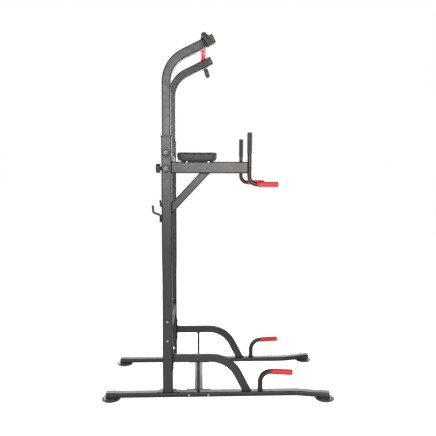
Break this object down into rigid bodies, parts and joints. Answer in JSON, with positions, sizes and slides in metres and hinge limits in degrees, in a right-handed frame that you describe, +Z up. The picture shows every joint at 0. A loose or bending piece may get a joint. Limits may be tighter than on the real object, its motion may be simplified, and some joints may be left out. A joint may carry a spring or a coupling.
{
  "type": "power tower",
  "caption": "Free-standing power tower: telescoping masts carry a pull-up bar above padded dip arms; push-up handles sit on a base with suction feet.",
  "frame": {"origin": "on the floor, midway between the front and rear feet and between the side frames", "axes": "+X towards the front, where the push-up grips point, +Y to the user's left, +Z up"},
  "size_m": [1.442, 0.9418, 2.1953],
  "materials": {
    "frame_paint": "satin dark grey powder coat",
    "red_grip": "soft red vinyl foam",
    "black_foam": "black foam, fine pores",
    "foot_rubber": "glossy black rubber",
    "pad_cover": "black grained imitation leather",
    "pad_board": "stained plywood",
    "black_plastic": "moulded black plastic",
    "zinc": "bright zinc plate",
    "spring_steel": "drawn spring wire"
  },
  "bodies": {
    "tower_frame": {"arm_brace_left": "frame_paint", "arm_brace_right": "frame_paint", "base_crossbar": "frame_paint", "base_end_caps": "black_plastic", "base_tube_left": "frame_paint", "base_tube_right": "frame_paint", "collar_left": "black_plastic", "collar_right": "black_plastic", "curved_support_left": "frame_paint", "curved_support_right": "frame_paint", "dip_arm_left": "frame_paint", "dip_arm_right": "frame_paint", "dip_foam_grip_left": "black_foam", "dip_foam_grip_right": "black_foam", "dip_handle_left": "frame_paint", "dip_handle_right": "frame_paint", "dip_red_grip_left": "red_grip", "dip_red_grip_right": "red_grip", "forearm_pad_left": "pad_cover", "forearm_pad_right": "pad_cover", "frame_bolts": "zinc", "hook_left": "frame_paint", "hook_right": "frame_paint", "lower_crossbar": "frame_paint", "pad_board_left": "pad_board", "pad_board_right": "pad_board", "pad_bolts": "zinc", "pin_barrel_left": "frame_paint", "pin_barrel_right": "frame_paint", "pushup_grip_left": "red_grip", "pushup_grip_right": "red_grip", "pushup_handle_left": "frame_paint", "pushup_handle_right": "frame_paint", "strut_left": "frame_paint", "strut_right": "frame_paint", "suction_foot_front_left": "foot_rubber", "suction_foot_front_right": "foot_rubber", "suction_foot_rear_left": "foot_rubber", "suction_foot_rear_right": "foot_rubber", "upper_crossbar": "frame_paint", "upright_left": "frame_paint", "upright_right": "frame_paint"},
    "upper_frame": {"bar_bolts": "zinc", "bar_foam_grip_left": "black_foam", "bar_foam_grip_right": "black_foam", "bar_red_grip_left": "red_grip", "bar_red_grip_right": "red_grip", "mast_end_caps": "black_plastic", "mast_glides": "black_plastic", "mast_left": "frame_paint", "mast_right": "frame_paint", "pull_up_bar": "frame_paint"},
    "clamp_knob_lower_left": {"clamp_knob_lower_left": "black_plastic"},
    "clamp_knob_upper_left": {"clamp_knob_upper_left": "black_plastic"},
    "pull_pin_left": {"pull_pin_left": "black_plastic", "pin_spring_left": "spring_steel"},
    "clamp_knob_lower_right": {"clamp_knob_lower_right": "black_plastic"},
    "clamp_knob_upper_right": {"clamp_knob_upper_right": "black_plastic"},
    "pull_pin_right": {"pull_pin_right": "black_plastic", "pin_spring_right": "spring_steel"}
  },
  "joints": [
    {"name": "mast_slide", "type": "slide", "parent": "tower_frame", "child": "upper_frame", "axis": [0, 0, 1], "range_m": [-0.2, 0.1]},
    {"name": "knob_turn_lower_left", "type": "hinge", "parent": "tower_frame", "child": "clamp_knob_lower_left", "pos_m": [-0.31, 0.315, 1.418], "axis": [0, 1, 0], "range_deg": [0, 540]},
    {"name": "knob_turn_upper_left", "type": "hinge", "parent": "tower_frame", "child": "clamp_knob_upper_left", "pos_m": [-0.31, 0.315, 1.511], "axis": [0, 1, 0], "range_deg": [0, 540]},
    {"name": "pin_pull_left", "type": "slide", "parent": "tower_frame", "child": "pull_pin_left", "axis": [-1, 0, 0], "range_m": [0, 0.008], "stiffness_N_per_m": 1500, "springref_m": -0.006, "deforming": ["pin_spring_left"]},
    {"name": "knob_turn_lower_right", "type": "hinge", "parent": "tower_frame", "child": "clamp_knob_lower_right", "pos_m": [-0.31, -0.315, 1.418], "axis": [0, -1, 0], "range_deg": [0, 540]},
    {"name": "knob_turn_upper_right", "type": "hinge", "parent": "tower_frame", "child": "clamp_knob_upper_right", "pos_m": [-0.31, -0.315, 1.511], "axis": [0, -1, 0], "range_deg": [0, 540]},
    {"name": "pin_pull_right", "type": "slide", "parent": "tower_frame", "child": "pull_pin_right", "axis": [-1, 0, 0], "range_m": [0, 0.008], "stiffness_N_per_m": 1500, "springref_m": -0.006, "deforming": ["pin_spring_right"]}
  ]
}
